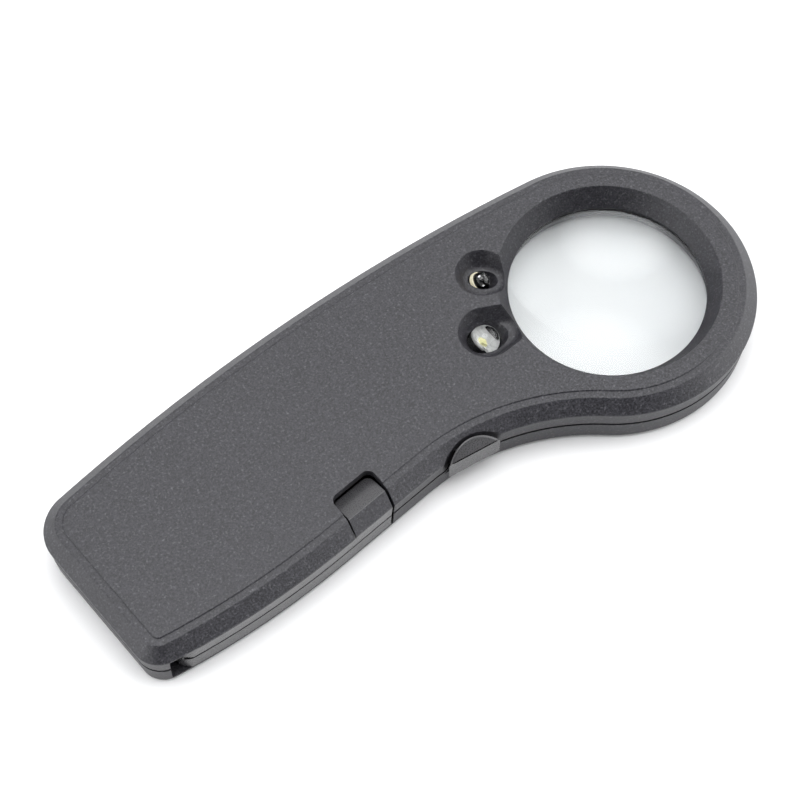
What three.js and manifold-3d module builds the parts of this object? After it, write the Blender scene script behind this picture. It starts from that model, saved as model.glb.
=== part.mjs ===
// Illuminated low vision magnifier: a hand-held casing round a 35 mm reading lens, with two LEDs, a push
// button and a battery tray that swings out of the handle. Millimetres, +Z up. The casing is drawn with the
// lens on the origin, the handle along -X and the side that faces the page upwards.
import * as THREE from "three";
import { mergeVertices } from "three/addons/utils/BufferGeometryUtils.js";
import Module from "manifold-3d";

const wasm = await Module();
wasm.setup();

// ---------------------------------------------------------------- driving dimensions

const GAP = 0.3; // between pieces that touch on the real object
const WALL = 1.5;

// Heights above the surface that the magnifier lies on.
const FOOT = 0.9; // top of the bevel round the underside
const FLOOR = 1.4; // inner face of the bottom shell
const PARTING = 5.0; // where the two shells meet
const SHOULDER = 8.35; // foot of the bevel round the upper side
const BORDER = 10.5; // top of that bevel
const FACE = 10.75; // raised face inside the border
const ROOF = FACE - WALL; // inner face of the top shell

// How far the side has come in from the widest outline at each height.
const BEVEL = BORDER - SHOULDER;
const BORDER_WIDTH = 1.1;
const TOP_DRAFT = 0.35;
const BOTTOM_DRAFT = 0.35;
const FOOT_DRAFT = 0.6;
const TONGUE = { outer: 2.2, inner: 2.9, top: 6.2 }; // rim of the bottom shell that locates the top one

const HEAD_RADIUS = 24.5;
const LENS = { radius: 17.4, edge: [5.35, 6.95], curvature: 81 };
const APERTURE = 16.4;
const BEZEL = 18.5; // wide end of the cone down to the lens
const LENS_SEAT = 7.3;
const LENS_RING = 19.5; // wall round the lens
const LOWER_FLARE = { depth: 2.4, wider: 1.6 }; // of the opening in the underside

const PIVOT = new THREE.Vector2(-86.6, -17.5); // the battery tray's pin
const PIN = { radius: 0.95, bottom: 0.9, top: ROOF + 0.4, boss: 2.2, slack: 0.1 };
const HEEL = 4.6; // rounded end of the tray round its pin
const TRAY_REACH = 35.6; // from the pin to the tray's free end
const BAY_REACH = TRAY_REACH + 0.45;
const BAY_END = -92.2; // where the casing's fixed corner begins
const TAB = { near: 28.3, depth: 6.5, corner: 1.1 }; // the tray's thumb tab, from the pin and from the side
const NOTCH = { near: TAB.near - GAP, depth: TAB.depth + GAP, corner: 1.3 };
const CELL = { radius: 10, height: 1.6, x: -69.5, y: -8.0, bottom: 2.9 };
const CRADLE = CELL.radius + 1.4;
const WEB = [new THREE.Vector2(-54, -11), new THREE.Vector2(-50.2, -14)]; // corners of the tray's free end
const TRAY_SKIN = 2.0; // thickness of the tray's outer wall
const BAY_DEPTH = 2.3; // how deep the top shell is cut away for that wall
const SWING_ROOM = 0.45; // round the tray inside the casing
const LIP = 0.12; // of the bevel, standing over the tray's wall

const BUTTON = { x: -35, face: -15.1, radius: 6.8, rear: -13.2, bottom: 4.2 };
const STEM = { half: 2.5, front: -14, bottom: 4.8, top: 7.7 }; // of the button, through the shells
const FLANGE = { half: 5.6, front: -12.1, back: -11.2, bottom: 3.0, top: 7.9 }; // keeps the button in
const WELL = { x: BUTTON.x, rear: BUTTON.rear + 0.45, radius: BUTTON.radius + 2 };
const BOARD = { left: -46, right: -29.5, front: -9.6, back: 12.5, bottom: 2.4, top: 3.4 };
const ON_BOARD = BOARD.top + 0.05;

const LED_TILT = THREE.MathUtils.degToRad(45); // of both LEDs, up and towards the lens
const WHITE_LED = {
  ...{ from: 22.7, bearing: 175.2, height: 7.4 }, // the dome's centre, from the lens and above the table
  ...{ radius: 2.5, flange: 2.85, body: 4.4, pocket: 4.5 },
};
const UV_LED = {
  ...{ from: 20.8, bearing: 145.2, height: 7.5 },
  ...{ radius: 1.5, flange: 1.9, body: 3.4, pocket: 4.3 },
};
const POCKET_FLOOR = 7.8;
const POCKET_MOUTH = 3.7; // half the pocket's width where it opens towards the lens

const SCREW = { head: 1.6, bottom: 0.35, headTop: 1.5, shank: 0.75, top: ROOF - 0.8, boss: 2.5 };
const SCREWS = [
  [-92.8, 4.5],
  [-45.3, -9.6],
  [-24.5, 17.9],
  [-20.6, -11.0],
];

// ---------------------------------------------------------------- small helpers

const radians = THREE.MathUtils.degToRad;

function heading(degrees) {
  return new THREE.Vector2(Math.cos(radians(degrees)), Math.sin(radians(degrees)));
}

function solid(geometry) {
  const shell = geometry.clone();
  shell.deleteAttribute("normal");
  shell.deleteAttribute("uv");
  const merged = mergeVertices(shell, 1e-4);
  const mesh = new wasm.Mesh({
    numProp: 3,
    vertProperties: merged.attributes.position.array,
    triVerts: new Uint32Array(merged.index.array),
  });
  return new wasm.Manifold(mesh);
}

function join(...pieces) {
  return wasm.Manifold.union(pieces);
}

// An upright prism over a closed outline of points.
function prism(points, bottom, top) {
  const depth = top - bottom;
  const shape = new THREE.Shape(points);
  return solid(new THREE.ExtrudeGeometry(shape, { depth, bevelEnabled: false })).translate([0, 0, bottom]);
}

function block(x0, x1, y0, y1, z0, z1) {
  const box = new THREE.BoxGeometry(x1 - x0, y1 - y0, z1 - z0);
  return solid(box.translate((x0 + x1) / 2, (y0 + y1) / 2, (z0 + z1) / 2));
}

// An upright cylinder or cone.
function post(x, y, radius, bottom, top, topRadius = radius, sides = 32) {
  const drum = new THREE.CylinderGeometry(topRadius, radius, top - bottom, sides);
  return solid(drum.rotateX(Math.PI / 2).translate(x, y, (bottom + top) / 2));
}

// A closed skin through rings of equal length, from the lowest ring to the highest.
function loft(rings) {
  const count = rings[0].points.length;
  const positions = rings.flatMap(({ points, z }) => points.flatMap((p) => [p.x, p.y, z]));
  const faces = [];
  for (let level = 0; level + 1 < rings.length; level++) {
    for (let i = 0; i < count; i++) {
      const [a, b] = [level * count + i, level * count + ((i + 1) % count)];
      faces.push(a, b, b + count, a, b + count, a + count);
    }
  }
  const last = (rings.length - 1) * count;
  for (const [a, b, c] of THREE.ShapeUtils.triangulateShape(rings[0].points, [])) faces.push(a, c, b);
  for (const [a, b, c] of THREE.ShapeUtils.triangulateShape(rings.at(-1).points, [])) {
    faces.push(last + a, last + b, last + c);
  }
  const skin = new THREE.BufferGeometry();
  skin.setAttribute("position", new THREE.Float32BufferAttribute(positions, 3));
  skin.setIndex(faces);
  return solid(skin);
}

function circle(centre, radius, from = 0, to = 360, steps = 32) {
  const points = [];
  const closed = to - from === 360;
  for (let i = 0; i < steps + (closed ? 0 : 1); i++) {
    points.push(heading(from + ((to - from) * i) / steps).multiplyScalar(radius).add(centre));
  }
  return points;
}

// The outline of two circles and the two lines that touch them both.
function capsule(first, firstRadius, second, secondRadius, steps = 14) {
  const across = second.clone().sub(first);
  const along = THREE.MathUtils.radToDeg(across.angle());
  const opening = THREE.MathUtils.radToDeg(Math.acos((firstRadius - secondRadius) / across.length()));
  return [
    ...circle(first, firstRadius, along + opening, along + 360 - opening, steps),
    ...circle(second, secondRadius, along - opening, along + opening, steps),
  ];
}

// ---------------------------------------------------------------- the casing's outline

const OVER_TRAY = { radius: 144, until: 282.3, steps: 4, straight: true };

// Tangent arcs, anticlockwise. A minus radius curves inwards, and each arc ends where the outward direction
// reaches the stated angle. Two of them run on into a straight, whose length closes the outline.
const ARCS = [
  { radius: HEAD_RADIUS, until: 90, steps: 24 }, // head
  { radius: 329, until: 106.7, steps: 8 }, // back of the handle
  { radius: 7.3, until: 190, steps: 8, straight: true }, // far corner, then the end
  { radius: 4.5, until: 269.7, steps: 7 }, // near corner
  OVER_TRAY, // then on to the waist
  { radius: -38.5, until: 236.8, steps: 10 }, // waist
];
const HEAD_FROM = ARCS.at(-1).until - 360;

// The two straights' lengths: what is left over by the arcs, shared between their two directions.
function straightLengths() {
  const leftOver = new THREE.Vector2();
  ARCS.forEach((arc, i) => {
    const next = ARCS[(i + 1) % ARCS.length];
    leftOver.addScaledVector(heading(arc.until), next.radius - arc.radius);
  });
  const [first, second] = ARCS.filter((arc) => arc.straight).map((arc) => heading(arc.until + 90));
  const area = first.cross(second);
  return [leftOver.cross(second) / area, first.cross(leftOver) / area];
}

function arcCentres() {
  const lengths = straightLengths();
  const centre = new THREE.Vector2();
  return ARCS.map((arc, i) => {
    const own = centre.clone();
    const next = ARCS[(i + 1) % ARCS.length];
    centre.addScaledVector(heading(arc.until), arc.radius - next.radius);
    if (arc.straight) centre.addScaledVector(heading(arc.until + 90), lengths.shift());
    return own;
  });
}

const CENTRES = arcCentres();

function outline(inset) {
  let from = HEAD_FROM;
  return ARCS.flatMap((arc, i) => {
    const steps = arc.straight ? arc.steps + 1 : arc.steps;
    const points = [];
    for (let k = 0; k < steps; k++) {
      const out = heading(from + ((arc.until - from) * k) / arc.steps);
      points.push(out.multiplyScalar(arc.radius - inset).add(CENTRES[i]));
    }
    from = arc.until;
    return points;
  });
}

function casing(...levels) {
  return loft(levels.map(([z, inset]) => ({ z, points: outline(inset) })));
}

const upperHull = () =>
  casing(
    [PARTING, TOP_DRAFT],
    [SHOULDER, 0],
    [BORDER, BEVEL],
    [BORDER, BEVEL + BORDER_WIDTH],
    [FACE, BEVEL + BORDER_WIDTH + 0.15],
  );
const lowerHull = () => casing([0, FOOT_DRAFT + FOOT], [FOOT, FOOT_DRAFT], [PARTING, BOTTOM_DRAFT]);
const rim = (outer, inner, bottom, top) =>
  casing([bottom, outer], [top, outer]).subtract(casing([bottom - 1, inner], [top + 1, inner]));

// ---------------------------------------------------------------- regions round the tray's pin

const cellCentre = new THREE.Vector2(CELL.x, CELL.y);

function roundPivot(near, far, bottom, top) {
  const outer = post(PIVOT.x, PIVOT.y, far, bottom, top, far, 96);
  return near ? outer.subtract(post(PIVOT.x, PIVOT.y, near, bottom - 1, top + 1, near, 72)) : outer;
}

// The part of the side that the tray closes: from the fixed corner to the tray's free end.
function bay(reach, left, bottom, top) {
  return roundPivot(0, reach, bottom, top).intersect(block(left, 0, -60, 0, bottom, top));
}

// The side runs straight past the tab, facing this way; how far out a point at an inset lies.
const SIDE = heading(OVER_TRAY.until);
const ALONG_SIDE = heading(OVER_TRAY.until + 90);
const sideDistance = (inset) => CENTRES[ARCS.indexOf(OVER_TRAY)].dot(SIDE) + OVER_TRAY.radius - inset;

// The point at a distance from the pin and a depth behind the side.
function behindSide(reach, depth) {
  const fromPin = SIDE.clone().multiplyScalar(sideDistance(depth)).sub(PIVOT);
  const lead = fromPin.dot(ALONG_SIDE);
  const run = Math.sqrt(lead ** 2 - fromPin.lengthSq() + reach ** 2) - lead;
  return fromPin.addScaledVector(ALONG_SIDE, run).add(PIVOT);
}

// The thumb tab, or the notch round it: between two arcs about the pin, with rounded inner corners.
function tabRegion(near, far, depth, corner, bottom, top) {
  const sweep = 28; // degrees: far enough to leave the casing
  const [nearCorner, farCorner] = [near, far].map((reach) => behindSide(reach, depth));
  const arc = (reach, inner) => {
    const angle = THREE.MathUtils.radToDeg(inner.clone().sub(PIVOT).angle());
    return circle(PIVOT, reach, angle - sweep, angle - THREE.MathUtils.radToDeg(corner / reach), 7);
  };
  const rising = arc(near, nearCorner);
  const falling = arc(far, farCorner).reverse();
  const across = farCorner.clone().sub(nearCorner).setLength(corner);
  const bend = (from, middle, to) => new THREE.QuadraticBezierCurve(from, middle, to).getPoints(4);
  const corners = [
    ...rising.slice(0, -1),
    ...bend(rising.at(-1), nearCorner, nearCorner.clone().add(across)),
    ...bend(farCorner.clone().sub(across), farCorner, falling[0]),
    ...falling.slice(1),
  ];
  return prism(corners, bottom, top);
}

// The tray's plate in plan, grown by a margin: heel, cradle and free end, with room left on the outside.
function trayPlan(margin, bottom, top) {
  const outwards = SIDE.clone().multiplyScalar(CRADLE + HEEL);
  const outside = (point) => point.clone().add(outwards);
  const inner = WEB[0].clone().add(new THREE.Vector2(0, margin));
  const free = WEB[1].clone().add(new THREE.Vector2(margin, 0));
  const plan = join(
    prism(capsule(PIVOT, HEEL + margin, cellCentre, CRADLE + margin), bottom, top),
    prism([PIVOT, outside(PIVOT), outside(cellCentre), cellCentre], bottom, top),
    prism([cellCentre, outside(inner), free, inner], bottom, top),
  );
  const reachable = bay(TRAY_REACH + margin, PIVOT.x - CRADLE, bottom, top);
  return plan.intersect(reachable.add(prism(circle(cellCentre, CRADLE + margin), bottom, top)));
}

// ---------------------------------------------------------------- LEDs and their pockets

function ledFrame(led) {
  const towardsLens = heading(led.bearing + 180);
  const base = heading(led.bearing).multiplyScalar(led.from);
  const axis = new THREE.Vector3(towardsLens.x, towardsLens.y, 0).multiplyScalar(Math.cos(LED_TILT));
  axis.z = Math.sin(LED_TILT);
  const side = new THREE.Vector3(-towardsLens.y, towardsLens.x, 0);
  const centre = new THREE.Vector3(base.x, base.y, led.height);
  const matrix = new THREE.Matrix4().makeBasis(side, axis, new THREE.Vector3().crossVectors(side, axis));
  return matrix.setPosition(centre);
}

// A turned piece on the LED's axis: the profile is (radius, distance in front of the dome's centre).
function onLedAxis(led, profile) {
  const points = profile.map(([r, y]) => new THREE.Vector2(r, y));
  const turned = new THREE.LatheGeometry(points, 20);
  return solid(turned.applyMatrix4(ledFrame(led)));
}

function ledBody(led) {
  const dome = [];
  for (let angle = 0; angle <= 90; angle += 15) {
    dome.push([led.radius * Math.cos(radians(angle)), led.radius * Math.sin(radians(angle))]);
  }
  dome.at(-1)[0] = 0;
  const flangeTop = 1 - led.body;
  return onLedAxis(led, [
    [0, -led.body],
    [led.flange, -led.body],
    [led.flange, flangeTop],
    [led.radius, flangeTop],
    ...dome,
  ]);
}

function ledClearance(led) {
  const loose = 0.25;
  const behind = 1.3 - led.body;
  const leadRoom = -led.body - 0.6;
  return onLedAxis(led, [
    [0, leadRoom],
    [led.flange + loose, leadRoom],
    [led.flange + loose, behind],
    [led.radius + loose, behind],
    [led.radius + loose, led.radius + 1],
    [0, led.radius + 1],
  ]);
}

// The scoop that the LED shines out of: wide at the face, narrower at its floor, open towards the lens.
function pocket(led) {
  const narrowing = 1.3;
  const outer = heading(led.bearing).multiplyScalar(led.from);
  const inner = heading(led.bearing).multiplyScalar(APERTURE + 1.6);
  const above = FACE + 1;
  const widening = (narrowing * (above - FACE)) / (FACE - POCKET_FLOOR);
  const ring = (z, wider) => ({ z, points: capsule(inner, POCKET_MOUTH + wider, outer, led.pocket + wider) });
  return loft([ring(POCKET_FLOOR, -narrowing), ring(above, widening)]);
}

function pocketHousing(led) {
  const radius = led.pocket + 0.7;
  const outer = heading(led.bearing).multiplyScalar(led.from);
  const inner = heading(led.bearing).multiplyScalar(LENS_RING);
  return prism(capsule(inner, radius, outer, radius), POCKET_FLOOR - 1.2, ROOF + 0.2);
}

// ---------------------------------------------------------------- casing shells

function buttonWell(bottom, top) {
  return post(WELL.x, WELL.rear - WELL.radius, WELL.radius, bottom, top, WELL.radius, 64);
}

// The way through the shells for the button's stem.
function stemHole() {
  const half = STEM.half + GAP;
  return block(BUTTON.x - half, BUTTON.x + half, BUTTON.face, FLANGE.back, STEM.bottom - GAP, STEM.top + GAP);
}

// The way through for the tray's outer wall.
function sideBay(depth, bottom, top) {
  return bay(BAY_REACH, BAY_END, bottom, top).subtract(casing([bottom - 1, depth], [top + 1, depth]));
}

function topShell() {
  const cavity = casing([PARTING - 1, TOP_DRAFT + WALL], [SHOULDER - 0.6, WALL + 0.1], [ROOF, BEVEL + 0.85]);
  const skin = upperHull()
    .subtract(cavity)
    .trimByPlane([0, 0, 1], PARTING + GAP / 2);
  const underRoof = ROOF + 0.2;
  const added = [
    post(0, 0, LENS_RING, PARTING + GAP, underRoof, LENS_RING, 48),
    pocketHousing(WHITE_LED),
    pocketHousing(UV_LED),
    post(PIVOT.x, PIVOT.y, PIN.boss, SHOULDER - 0.2, underRoof),
    ...SCREWS.map(([x, y]) => post(x, y, SCREW.boss - 0.4, PARTING + 2 * GAP, underRoof)),
  ];
  const lensRoom = LENS.radius + GAP;
  const removed = [
    post(0, 0, APERTURE, PARTING, FACE + 1, APERTURE, 64),
    post(0, 0, lensRoom, PARTING, LENS_SEAT, lensRoom, 48),
    post(0, 0, APERTURE, LENS_SEAT, FACE, BEZEL, 64),
    pocket(WHITE_LED),
    pocket(UV_LED),
    ledClearance(WHITE_LED),
    ledClearance(UV_LED),
    sideBay(BAY_DEPTH, PARTING - 1, SHOULDER - LIP),
    trayPlan(SWING_ROOM, PARTING - 1, SHOULDER - LIP - 0.2),
    tabRegion(NOTCH.near, BAY_REACH, NOTCH.depth, NOTCH.corner, SHOULDER - 2, FACE + 1),
    buttonWell(BUTTON.bottom - 1, FACE + 1),
    stemHole(),
    post(PIVOT.x, PIVOT.y, PIN.radius + PIN.slack, SHOULDER - 1, PIN.top + PIN.slack),
    ...SCREWS.map(([x, y]) => post(x, y, SCREW.shank + 0.15, PARTING, ROOF - 0.2)),
  ];
  return join(skin, ...added).subtract(join(...removed));
}

// Room behind the bottom shell's rim for the button's flange.
function flangeRoom(bottom, top) {
  const half = FLANGE.half + 1.4;
  return block(BUTTON.x - half, BUTTON.x + half, FLANGE.front - 0.25, SWITCH.front + 0.9, bottom, top);
}

function bottomShell() {
  const bowl = lowerHull().trimByPlane([0, 0, -1], GAP / 2 - PARTING);
  const cavity = casing([FLOOR, TONGUE.inner], [PARTING + 3, TONGUE.inner]);
  const intoFloor = FLOOR - 0.2;
  const boardPost = (x, y) => post(x, y, 1.8, intoFloor, BOARD.bottom - 0.05);
  const added = [
    rim(TONGUE.outer, TONGUE.inner, FLOOR, TONGUE.top),
    post(0, 0, LENS_RING, FOOT / 2, PARTING, LENS_RING, 48),
    boardPost(BOARD.left + 3, BOARD.back - 3),
    boardPost(BOARD.right - 1.8, BOARD.back - 2.4),
    boardPost(BOARD.left + 6.5, -4),
    ...SCREWS.map(([x, y]) => post(x, y, SCREW.boss, intoFloor, PARTING + GAP)),
  ];
  const aboveTongue = TONGUE.top + 1;
  const removed = [
    post(0, 0, APERTURE + LOWER_FLARE.wider, -1, LOWER_FLARE.depth, APERTURE, 64),
    post(0, 0, APERTURE, LOWER_FLARE.depth - 0.4, PARTING + 1, APERTURE, 64),
    sideBay(TONGUE.inner + GAP, FLOOR, aboveTongue),
    trayPlan(SWING_ROOM, FLOOR, aboveTongue),
    buttonWell(BUTTON.bottom - GAP, aboveTongue),
    stemHole(),
    flangeRoom(FLANGE.bottom - 0.4, aboveTongue),
    ledClearance(WHITE_LED),
    ledClearance(UV_LED),
    post(PIVOT.x, PIVOT.y, PIN.radius + PIN.slack, PIN.bottom - PIN.slack, FLOOR + 1),
    ...SCREWS.map(([x, y]) => post(x, y, SCREW.shank + 0.15, -1, PARTING + 1)),
    ...SCREWS.map(([x, y]) => post(x, y, SCREW.head + GAP, -1, SCREW.headTop + 0.2)),
  ];
  return join(bowl.subtract(cavity), ...added).subtract(join(...removed));
}

// ---------------------------------------------------------------- lens

function lens() {
  const [low, high] = LENS.edge;
  const sag = (r) => (LENS.radius ** 2 - r ** 2) / (2 * LENS.curvature);
  const radii = [0, 0.4, 0.75, 1].map((share) => share * LENS.radius);
  const lower = radii.map((r) => new THREE.Vector2(r, low - sag(r)));
  const upper = radii.map((r) => new THREE.Vector2(r, high + sag(r))).reverse();
  return solid(new THREE.LatheGeometry([...lower, ...upper], 48).rotateX(Math.PI / 2));
}

// ---------------------------------------------------------------- battery tray

const TRAY_BOTTOM = FLOOR + 0.55;
const WALL_BOTTOM = FLOOR + 0.2; // of the tray's outer wall
const SCOOP = 2.1; // how far the thumb tab's top sinks

// The outer wall from the heel, where it is rounded about the pin, to the free end.
function trayWall(hull) {
  const heelEnd = BAY_END + 1.3;
  const band = hull.subtract(casing([-1, TRAY_SKIN], [FACE + 1, TRAY_SKIN]));
  const wall = band.intersect(bay(TRAY_REACH, heelEnd, WALL_BOTTOM, SHOULDER - LIP - 0.2));
  const heelSide = block(heelEnd - 1, PIVOT.x, -40, PIVOT.y, 0, FACE);
  const roundedHeel = post(PIVOT.x, PIVOT.y, HEEL + 0.1, 0, FACE);
  return wall.subtract(heelSide).add(wall.intersect(roundedHeel).intersect(heelSide));
}

function batteryTray() {
  const hull = join(upperHull(), lowerHull());
  const insideHull = casing([0, FOOT_DRAFT], [FACE, FOOT_DRAFT]);
  const { x, y } = cellCentre;
  const onPlate = CELL.bottom - 0.1;
  const tabBlock = tabRegion(TAB.near, TRAY_REACH, TAB.depth, TAB.corner, TRAY_BOTTOM, FACE + 1);
  const tray = join(
    trayWall(hull),
    trayPlan(0, TRAY_BOTTOM, onPlate).intersect(insideHull),
    post(x, y, CRADLE, TRAY_BOTTOM, CELL.bottom + 2 * CELL.height, CRADLE, 64).intersect(insideHull),
    post(PIVOT.x, PIVOT.y, HEEL - 0.5, TRAY_BOTTOM, SHOULDER - 0.5),
    tabBlock.intersect(hull),
  );
  const cellWell = CELL.radius + 0.25;
  const removed = join(
    post(x, y, cellWell, onPlate, FACE, cellWell, 64),
    post(x, y, 0.6 * CELL.radius, 0, FACE), // the lower cell's contact reaches in here
    post(PIVOT.x, PIVOT.y, PIN.radius + 2 * PIN.slack, 0, FACE),
    rim(-1, BOTTOM_DRAFT + 0.25, PARTING - GAP / 2, PARTING + GAP / 2),
    thumbScoop(),
  );
  return tray.subtract(removed);
}

// The hollow in the tab that a thumb pulls on: a slope that sinks from the bevel's top to the notch's back.
function thumbScoop() {
  const sink = SCOOP / (TAB.depth - BEVEL);
  const slope = new THREE.Vector3(-SIDE.x * sink, -SIDE.y * sink, 1);
  const height = BORDER - sink * sideDistance(BEVEL);
  const tabArea = roundPivot(TAB.near - 1, TRAY_REACH + 1, SHOULDER - 1, FACE + 1);
  return tabArea.trimByPlane(slope.toArray(), height);
}

// ---------------------------------------------------------------- button and switch

const SWITCH = { half: 3, front: -9.9, back: -6.6, bottom: ON_BOARD, top: 7.2, cover: 0.4 };
const PLUNGER = { half: 1.4, bottom: 5.53, top: 6.83, loose: 0.2 };

function acrossButton(half, front, back, bottom, top) {
  return block(BUTTON.x - half, BUTTON.x + half, front, back, bottom, top);
}

// A disc cut flat on the outside and sloping back above that in line with the casing's bevel.
function pushButton() {
  const { x, face, radius, rear, bottom } = BUTTON;
  const slope = new THREE.Vector3(0, 1, -1).normalize();
  const cap = post(x, rear - radius, radius, bottom, FACE, radius, 64)
    .trimByPlane([0, 1, 0], face)
    .trimByPlane(slope.toArray(), slope.dot(new THREE.Vector3(0, face, SHOULDER)));
  const stem = acrossButton(STEM.half, STEM.front, FLANGE.front + 0.1, STEM.bottom, STEM.top);
  const flange = acrossButton(FLANGE.half, FLANGE.front, FLANGE.back, FLANGE.bottom, FLANGE.top);
  return join(cap, stem, flange);
}

function switchBase() {
  const { half, front, back, bottom, top, cover } = SWITCH;
  const body = acrossButton(half, front, back - cover - 0.1, bottom, top);
  const { half: slot, loose } = PLUNGER;
  return body.subtract(
    acrossButton(slot + loose, front - 1, front + 1.6, PLUNGER.bottom - loose, PLUNGER.top + loose),
  );
}

// A steel plate over the switch's top, bent down behind it.
function switchCover() {
  const { half, front, back, bottom, top, cover } = SWITCH;
  const upright = acrossButton(half, back - cover, back, bottom, top + cover);
  const roof = acrossButton(half, front, back, top + 0.1, top + cover);
  return join(upright, roof);
}

function switchPlunger() {
  return acrossButton(PLUNGER.half, FLANGE.back + 0.05, SWITCH.front + 1.1, PLUNGER.bottom, PLUNGER.top);
}

// ---------------------------------------------------------------- electrics

// The board's corner beside the battery tray is cut back, clear of the cells.
function circuitBoard() {
  const { left, right, front, back, bottom, top } = BOARD;
  const corners = [
    [left + 4, -6],
    [left + 6, front],
    [right, front],
    [right, back],
    [left, back],
    [left, 0],
  ];
  return prism(corners.map(([x, y]) => new THREE.Vector2(x, y)), bottom, top);
}

function resistor(x, y) {
  const [length, width, height] = [2, 1.2, 0.6];
  return block(x - length / 2, x + length / 2, y - width / 2, y + width / 2, ON_BOARD, ON_BOARD + height);
}

// A round wire on a smooth curve through points.
function wire(points, radius, sides = 8) {
  const smooth = new THREE.CatmullRomCurve3(points, false, "centripetal");
  const section = new THREE.Shape(circle(new THREE.Vector2(), radius, 0, 360, sides));
  return solid(new THREE.ExtrudeGeometry(section, { steps: 3 * points.length, extrudePath: smooth }));
}

// A lead leaves the LED's base, bends over and comes down on the board.
function ledLead(led, side, [x, y]) {
  const frame = ledFrame(led);
  const behindBase = (across, distance) => {
    return new THREE.Vector3(side * across, -led.body - distance, 0).applyMatrix4(frame);
  };
  const over = new THREE.Vector3(x, y, BOARD.top + 0.9);
  const landed = new THREE.Vector3(x, y, BOARD.top + 0.1);
  return wire([behindBase(1, 0.1), behindBase(1.1, 0.8), over, landed], 0.25);
}

const CELL_SPACING = CELL.height + 0.1;
const CELLS_TOP = CELL.bottom + CELL_SPACING + CELL.height;

// A coin cell: the can's wider part stands up from the smaller negative face below.
function coinCell(bottom) {
  const { radius, height } = CELL;
  const [margin, step] = [1.5, 0.2];
  const profile = [
    [0, 0],
    [radius - margin - 0.1, 0],
    [radius - margin, step],
    [radius, step],
    [radius, height - 0.15],
    [radius - 0.15, height],
    [0, height],
  ].map(([r, z]) => new THREE.Vector2(r, z));
  const drum = new THREE.LatheGeometry(profile, 40).rotateX(Math.PI / 2);
  return solid(drum.translate(CELL.x, CELL.y, bottom));
}

// A sprung strip of one thickness: a flat foot and a finger that reaches the cell and turns up at its tip.
function contactStrip(foot, tip, footHeight, tipHeight) {
  const [thickness, width, turnUp] = [0.25, 3, 0.3];
  const along = tip.clone().sub(foot);
  const length = along.length();
  const upper = tipHeight + Math.sign(footHeight - tipHeight) * turnUp;
  const underside = [
    [0, footHeight],
    [0.35 * length, footHeight],
    [0.92 * length, tipHeight],
    [length, upper],
  ].map(([x, z]) => new THREE.Vector2(x, z));
  const topside = underside.map(({ x, y }) => new THREE.Vector2(x, y + thickness)).reverse();
  const profile = new THREE.Shape([...underside, ...topside]);
  const strip = new THREE.ExtrudeGeometry(profile, { depth: width, bevelEnabled: false });
  strip.translate(0, 0, -width / 2).rotateX(Math.PI / 2).rotateZ(along.angle());
  return solid(strip.translate(foot.x, foot.y, 0));
}

// ---------------------------------------------------------------- fasteners

// A countersunk cross-head screw that enters from below.
function caseScrew(x, y) {
  const head = post(x, y, SCREW.head, SCREW.bottom, SCREW.headTop, SCREW.head, 24);
  const shank = post(x, y, SCREW.shank, SCREW.headTop - 0.1, SCREW.top, SCREW.shank, 16);
  const [reach, half, deep] = [0.7 * SCREW.head, 0.2, SCREW.bottom + 0.5];
  const slot = join(
    block(x - reach, x + reach, y - half, y + half, 0, deep),
    block(x - half, x + half, y - reach, y + reach, 0, deep),
  );
  return join(head, shank).subtract(slot);
}

// ---------------------------------------------------------------- the assembly

const magnifier = new THREE.Group();
magnifier.name = "low_vision_magnifier";

function material(color, roughness, metalness = 0, extra = {}) {
  return new THREE.MeshStandardMaterial({ color, roughness, metalness, ...extra });
}

const speckledPlastic = () => material(0x3a3a3e, 0.62);
const smoothPlastic = () => material(0x39393d, 0.45);
const steel = () => material(0xb9bcc0, 0.3, 1);
const brightWire = () => material(0xc9ccd0, 0.35, 1);
const clearEpoxy = () => material(0xf2f6f4, 0.08, 0, { transparent: true, opacity: 0.45 });

// Each piece is one mesh about its own solid, in the casing's coordinates.
function add(name, shape, look) {
  const { numProp, vertProperties, triVerts } = shape.getMesh();
  const positions = new Float32Array((vertProperties.length / numProp) * 3);
  for (let i = 0; i < positions.length / 3; i++) {
    positions.set(vertProperties.subarray(i * numProp, i * numProp + 3), i * 3);
  }
  const geometry = new THREE.BufferGeometry();
  geometry.setAttribute("position", new THREE.BufferAttribute(positions, 3));
  geometry.setIndex(new THREE.BufferAttribute(new Uint32Array(triVerts), 1));
  geometry.computeVertexNormals();
  const mesh = new THREE.Mesh(geometry, look);
  mesh.name = name;
  magnifier.add(mesh);
}

add("top_shell", topShell(), speckledPlastic());
add("bottom_shell", bottomShell(), speckledPlastic());
add("lens", lens(), material(0xf4fbff, 0.03, 0, { transparent: true, opacity: 0.3 }));
add("white_led", ledBody(WHITE_LED), clearEpoxy());
add("uv_led", ledBody(UV_LED), clearEpoxy());

const LANDINGS_X = BOARD.right - 1.9;
const LEADS = { anode: 1, cathode: -1 }; // the side of the LED's axis that each lead leaves from
for (const [name, led, middleY] of [
  ["white_led", WHITE_LED, 2.3],
  ["uv_led", UV_LED, 9.9],
]) {
  for (const [lead, side] of Object.entries(LEADS)) {
    add(`${name}_${lead}`, ledLead(led, side, [LANDINGS_X, middleY + 1.3 * side]), brightWire());
  }
}

add("circuit_board", circuitBoard(), material(0x1f5c3a, 0.5));
add("white_led_resistor", resistor(-36, 2.3), material(0x17171a, 0.4));
add("uv_led_resistor", resistor(-36, 9.3), material(0x17171a, 0.4));
add("switch_base", switchBase(), material(0x1c1c1e, 0.5));
add("switch_cover", switchCover(), steel());
add("switch_plunger", switchPlunger(), material(0x8a1f1c, 0.4));
add("push_button", pushButton(), smoothPlastic());

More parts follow.
